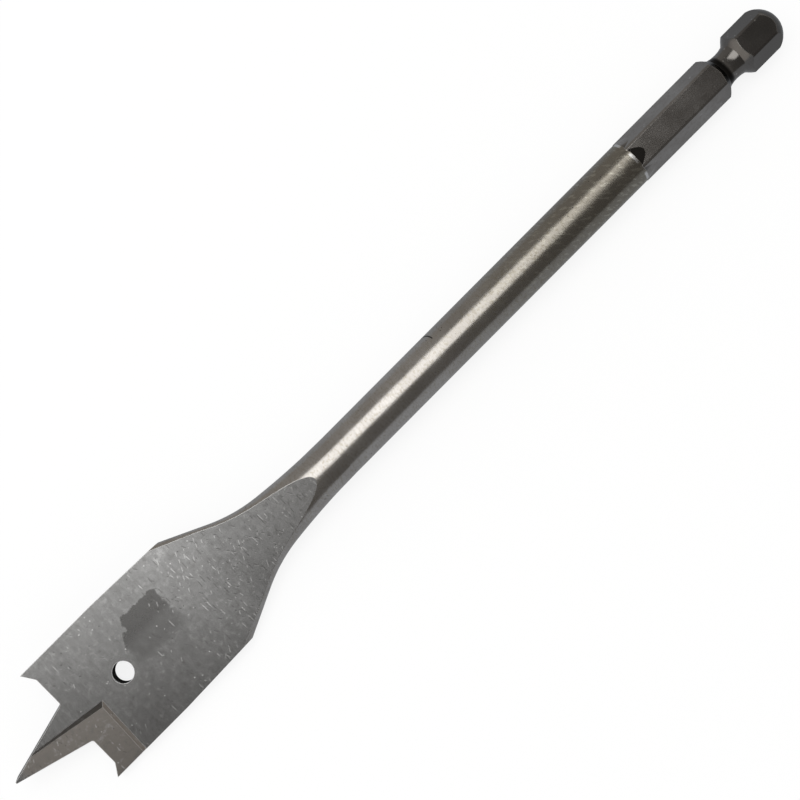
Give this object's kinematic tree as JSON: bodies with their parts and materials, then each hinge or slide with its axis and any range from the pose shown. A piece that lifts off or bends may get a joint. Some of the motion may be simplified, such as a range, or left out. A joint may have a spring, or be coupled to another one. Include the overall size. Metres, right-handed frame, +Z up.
{
  "type": "spade drill bit",
  "caption": "Flat spade bit for boring wood, with a centre point, cutting lips and spurs, a round shank and a grooved quick-change hex end.",
  "frame": {"origin": "on the surface the bit lies on, below the middle of its axis", "axes": "+X along the axis from the point to the hex end, +Z up; the blade is rolled about the axis so that the shank and one edge of the blade lie on the surface"},
  "size_m": [0.153, 0.0198, 0.007],
  "materials": {
    "steel": "bare tool steel: blade ground across its width, shank and hex turned and slightly browned"
  },
  "bodies": {
    "root": {"spade_bit": "steel"}
  },
  "joints": []
}
